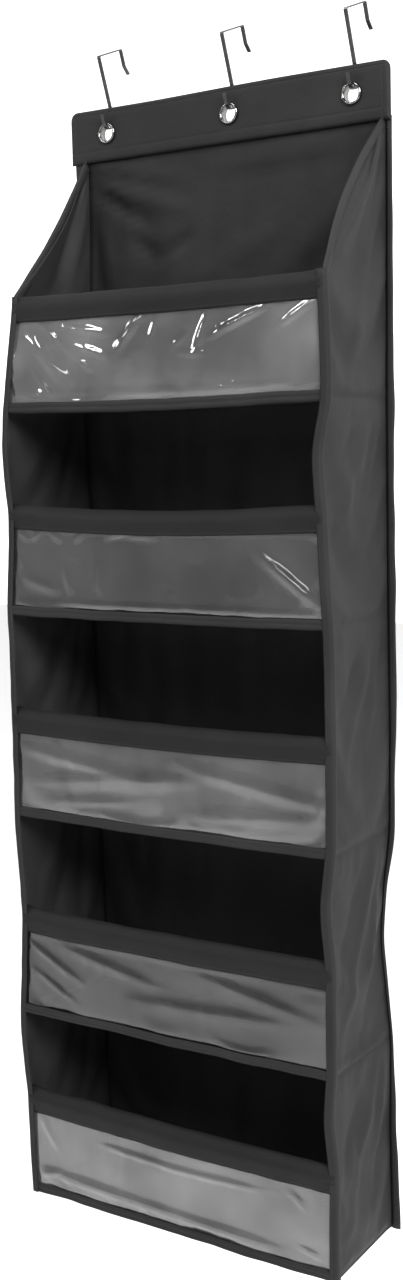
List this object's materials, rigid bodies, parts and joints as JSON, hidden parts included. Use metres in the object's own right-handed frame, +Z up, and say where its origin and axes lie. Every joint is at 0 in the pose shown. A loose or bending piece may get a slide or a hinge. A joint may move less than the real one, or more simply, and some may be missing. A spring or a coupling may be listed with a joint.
{
  "type": "over-the-door hanging organizer",
  "caption": "Over-the-door hanging fabric organizer with stacked clear-fronted pockets on stiff shelves, hung by flat strip hooks through eyelets.",
  "frame": {"origin": "rear face of the back panel, at mid width, level with the seam under the header", "axes": "+X to the right seen from the front, +Y backwards to the door, +Z up"},
  "size_m": [0.352, 0.1532, 1.1287],
  "materials": {
    "black_fabric": "matt woven fabric",
    "binding_tape": "matt woven tape",
    "clear_sheet": "clear soft sheet",
    "grey_board": "matt board",
    "nickel": "bright nickel",
    "black_steel": "satin black"
  },
  "bodies": {
    "root": {"back_panel": "black_fabric", "header_band": "black_fabric", "header_lining": "black_fabric", "header_board": "grey_board", "eyelet_left": "nickel", "eyelet_center": "nickel", "eyelet_right": "nickel", "washer_left": "nickel", "washer_center": "nickel", "washer_right": "nickel", "side_panel_left": "black_fabric", "side_panel_right": "black_fabric", "front_binding_left": "binding_tape", "front_binding_right": "binding_tape", "back_binding_left": "binding_tape", "back_binding_right": "binding_tape", "hem_band_1": "black_fabric", "window_1": "clear_sheet", "lower_binding_1": "binding_tape", "hem_band_2": "black_fabric", "window_2": "clear_sheet", "lower_binding_2": "binding_tape", "hem_band_3": "black_fabric", "window_3": "clear_sheet", "lower_binding_3": "binding_tape", "hem_band_4": "black_fabric", "window_4": "clear_sheet", "lower_binding_4": "binding_tape", "hem_band_5": "black_fabric", "window_5": "clear_sheet", "lower_binding_5": "binding_tape"},
    "hook_left_body": {"hook_left": "black_steel"},
    "hook_center_body": {"hook_center": "black_steel"},
    "hook_right_body": {"hook_right": "black_steel"},
    "shelf_1": {"shelf_cover_1": "black_fabric", "shelf_board_1": "grey_board"},
    "shelf_2": {"shelf_cover_2": "black_fabric", "shelf_board_2": "grey_board"},
    "shelf_3": {"shelf_cover_3": "black_fabric", "shelf_board_3": "grey_board"},
    "shelf_4": {"shelf_cover_4": "black_fabric", "shelf_board_4": "grey_board"},
    "shelf_5": {"shelf_cover_5": "black_fabric", "shelf_board_5": "grey_board"}
  },
  "joints": [
    {"name": "hook_left_swing", "type": "hinge", "parent": "root", "child": "hook_left_body", "pos_m": [-0.131, -0.00275, 0.03745], "axis": [1, 0, 0], "range_deg": [-36, 0]},
    {"name": "hook_center_swing", "type": "hinge", "parent": "root", "child": "hook_center_body", "pos_m": [0.0105, -0.00275, 0.03745], "axis": [1, 0, 0], "range_deg": [-36, 0]},
    {"name": "hook_right_swing", "type": "hinge", "parent": "root", "child": "hook_right_body", "pos_m": [0.139, -0.00275, 0.03745], "axis": [1, 0, 0], "range_deg": [-36, 0]},
    {"name": "shelf_1_lift", "type": "slide", "parent": "root", "child": "shelf_1", "axis": [0, 0, 1], "range_m": [0, 0.2172]},
    {"name": "shelf_2_lift", "type": "slide", "parent": "root", "child": "shelf_2", "axis": [0, 0, 1], "range_m": [0, 0.389]},
    {"name": "shelf_3_lift", "type": "slide", "parent": "root", "child": "shelf_3", "axis": [0, 0, 1], "range_m": [0, 0.5652]},
    {"name": "shelf_4_lift", "type": "slide", "parent": "root", "child": "shelf_4", "axis": [0, 0, 1], "range_m": [0, 0.7423]},
    {"name": "shelf_5_lift", "type": "slide", "parent": "root", "child": "shelf_5", "axis": [0, 0, 1], "range_m": [0, 0.9078]}
  ],
  "couplings": [
    {"joint": "shelf_1_lift", "follows": "shelf_5_lift", "ratio": 0.23922},
    {"joint": "shelf_2_lift", "follows": "shelf_5_lift", "ratio": 0.42843},
    {"joint": "shelf_3_lift", "follows": "shelf_5_lift", "ratio": 0.62255},
    {"joint": "shelf_4_lift", "follows": "shelf_5_lift", "ratio": 0.81765}
  ]
}
